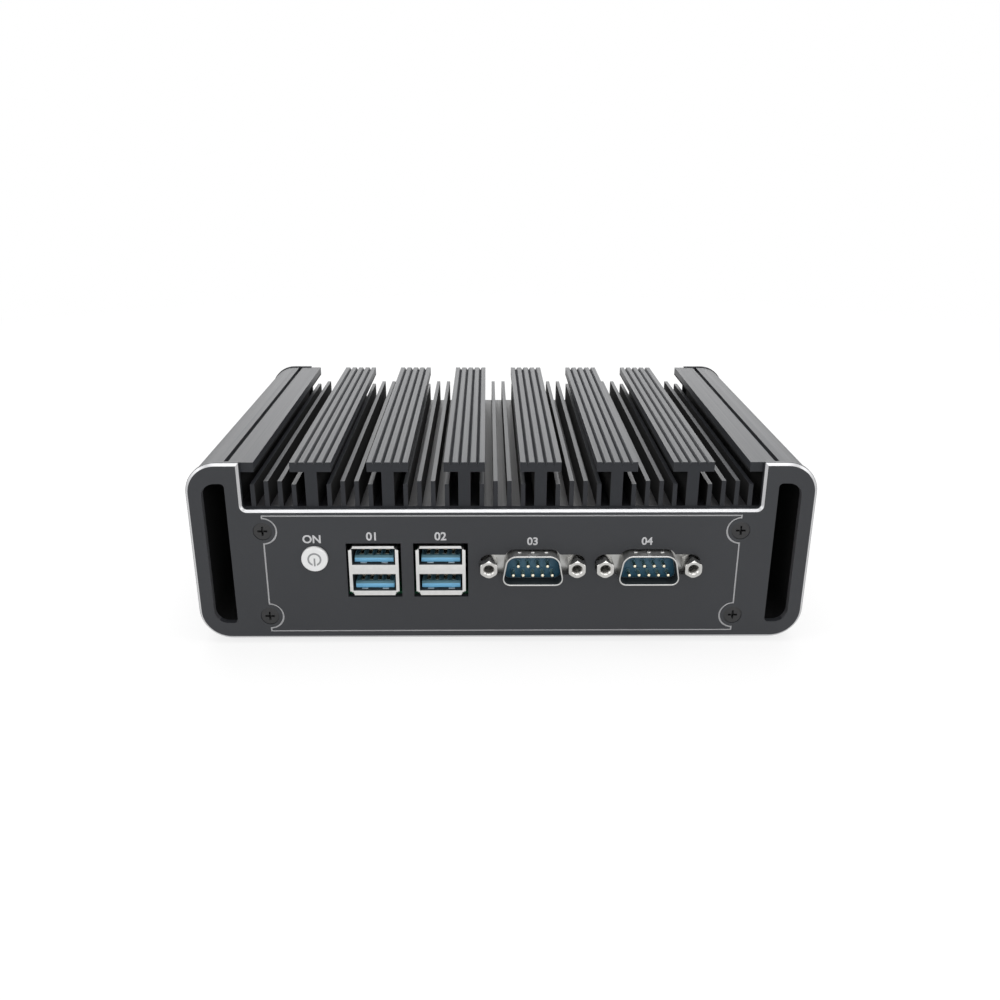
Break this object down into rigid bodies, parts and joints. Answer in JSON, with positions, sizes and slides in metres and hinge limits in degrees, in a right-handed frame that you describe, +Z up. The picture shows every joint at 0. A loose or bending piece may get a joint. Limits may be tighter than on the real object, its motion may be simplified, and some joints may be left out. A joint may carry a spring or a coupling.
{
  "type": "industrial mini computer",
  "caption": "Fanless industrial mini computer: finned black aluminium case between notched end plates, with a push power button and data, serial, video and network ports.",
  "frame": {"origin": "middle of the box round the part, on the surface that the feet stand on", "axes": "+X to the right seen from the front, -Y out of the front plate, +Z up"},
  "size_m": [0.176, 0.1272, 0.0557],
  "materials": {
    "black_anodised": "fine bead-blasted black anodising with bright diamond-cut edges",
    "black_steel": "fine black powder coat",
    "black_screw": "black oxide",
    "foot_rubber": "matt",
    "button_white": "pale satin",
    "black_plastic": "moulded",
    "board_green": "solder-masked laminate",
    "socket_steel": "bright plated sheet",
    "socket_blue": "moulded",
    "serial_steel": "satin plated",
    "serial_teal": "moulded",
    "contact_metal": "plated",
    "nickel": "bright nickel plate",
    "bare_aluminium": "machined",
    "pad_grey": "soft",
    "chip_black": "moulded"
  },
  "bodies": {
    "case": {"audio_jacks": "black_plastic", "back_plate": "black_anodised", "back_screws": "black_screw", "board_screws": "nickel", "board_standoffs": "nickel", "bottom_cover": "black_steel", "capacitors": "bare_aluminium", "card_post": "nickel", "card_screw": "nickel", "card_socket": "black_plastic", "cell_holder": "black_plastic", "coin_cell": "nickel", "cover_screws": "black_screw", "data_port_1_contacts": "contact_metal", "data_port_1_insulator": "socket_blue", "data_port_1_shell": "socket_steel", "data_port_2_contacts": "contact_metal", "data_port_2_insulator": "socket_blue", "data_port_2_shell": "socket_steel", "front_plate": "black_anodised", "front_screws": "black_screw", "heat_block": "bare_aluminium", "heatsink_body": "black_anodised", "jack_nuts": "nickel", "jack_screws": "nickel", "main_board": "board_green", "memory_module": "board_green", "memory_socket": "black_plastic", "mount_nuts": "nickel", "network_port_1_contacts": "contact_metal", "network_port_1_insulator": "black_plastic", "network_port_1_shell": "socket_steel", "network_port_2_contacts": "contact_metal", "network_port_2_insulator": "black_plastic", "network_port_2_shell": "socket_steel", "power_inlet": "black_plastic", "power_inlet_pin": "contact_metal", "power_switch": "black_plastic", "processor": "chip_black", "rear_data_port_contacts": "contact_metal", "rear_data_port_insulator": "socket_blue", "rear_data_port_shell": "socket_steel", "rubber_feet": "foot_rubber", "serial_port_1_insulator": "serial_teal", "serial_port_1_pins": "contact_metal", "serial_port_1_shell": "serial_steel", "serial_port_2_insulator": "serial_teal", "serial_port_2_pins": "contact_metal", "serial_port_2_shell": "serial_steel", "storage_card": "board_green", "supply_coils": "chip_black", "switch_board": "board_green", "thermal_pad": "pad_grey", "video_port_insulator": "socket_blue", "video_port_shell": "serial_steel"},
    "button": {"power_button": "button_white", "switch_plunger": "black_plastic"}
  },
  "joints": [
    {"name": "button_press", "type": "slide", "parent": "case", "child": "button", "axis": [0, 1, 0], "range_m": [0, 0.0008], "stiffness_N_per_m": 400}
  ]
}
